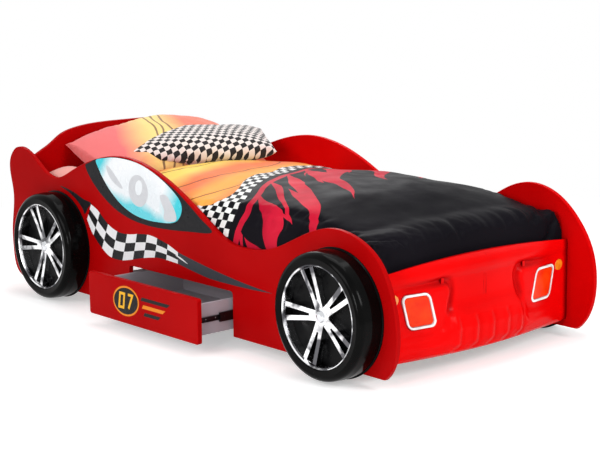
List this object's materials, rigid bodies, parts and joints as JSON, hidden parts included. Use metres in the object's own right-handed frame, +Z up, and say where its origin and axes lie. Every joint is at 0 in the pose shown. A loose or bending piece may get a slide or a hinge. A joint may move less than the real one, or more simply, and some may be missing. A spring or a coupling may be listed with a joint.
{
  "type": "car bed for children",
  "caption": "Child's single bed shaped like a car, with wheel covers, a moulded front bumper with lamps, slats, mattress, bedding and a pull-out side drawer.",
  "frame": {"origin": "underside of the centre foot, on the floor, in the middle of the bed's width", "axes": "+X to the nose, +Y to the left side, +Z up"},
  "size_m": [2.3211, 1.246, 0.6868],
  "materials": {
    "red_board": "gloss lacquer",
    "red_plastic": "gloss",
    "white_plastic": "gloss",
    "lamp_lens": "gloss",
    "amber_lens": "gloss",
    "pine": "satin",
    "black_plastic": "matte",
    "white_board": "satin",
    "runner_steel": "black zinc",
    "wheel_black": "satin",
    "rim_silver": "metallised",
    "bolt_steel": "zinc",
    "mattress_sheet": "woven",
    "duvet_cloth": "printed",
    "pillow_print": "printed",
    "pillow_checks": "printed"
  },
  "bodies": {
    "bed": {"centre_beam": "pine", "centre_foot": "black_plastic", "centre_leg": "pine", "corner_glides": "black_plastic", "corner_posts": "pine", "drawer_guide_left": "white_board", "drawer_guide_right": "white_board", "duvet": "duvet_cloth", "foot_board": "red_board", "front_bumper": "red_plastic", "headboard": "red_board", "headlight_bezels": "white_plastic", "headlight_lenses": "lamp_lens", "hub_cap_front_left": "rim_silver", "hub_cap_front_right": "rim_silver", "hub_cap_rear_left": "rim_silver", "hub_cap_rear_right": "rim_silver", "indicator_lenses": "amber_lens", "mattress": "mattress_sheet", "pillow_checkered": "pillow_checks", "pillow_large": "pillow_print", "runner_outer_left": "runner_steel", "runner_outer_right": "runner_steel", "side_panel_left": "red_board", "side_panel_right": "red_board", "slat_rail_left": "pine", "slat_rail_right": "pine", "slats": "pine", "wheel_bolts": "bolt_steel", "wheel_dish_front_left": "wheel_black", "wheel_dish_front_right": "wheel_black", "wheel_dish_rear_left": "wheel_black", "wheel_dish_rear_right": "wheel_black", "wheel_rim_front_left": "rim_silver", "wheel_rim_front_right": "rim_silver", "wheel_rim_rear_left": "rim_silver", "wheel_rim_rear_right": "rim_silver", "wheel_tyre_front_left": "wheel_black", "wheel_tyre_front_right": "wheel_black", "wheel_tyre_rear_left": "wheel_black", "wheel_tyre_rear_right": "wheel_black"},
    "drawer": {"drawer_front": "red_board", "drawer_back": "white_board", "drawer_bottom": "white_board", "drawer_side_left": "white_board", "drawer_side_right": "white_board", "runner_inner_left": "runner_steel", "runner_inner_right": "runner_steel"},
    "runner_middle": {"runner_middle_left": "runner_steel", "runner_middle_right": "runner_steel"}
  },
  "joints": [
    {"name": "drawer_slide", "type": "slide", "parent": "bed", "child": "drawer", "axis": [0, -1, 0], "range_m": [-0.151, 0.18]},
    {"name": "runner_middle_slide", "type": "slide", "parent": "bed", "child": "runner_middle", "axis": [0, -1, 0], "range_m": [-0.076, 0.0905]}
  ],
  "couplings": [
    {"joint": "runner_middle_slide", "follows": "drawer_slide", "ratio": 0.5}
  ]
}
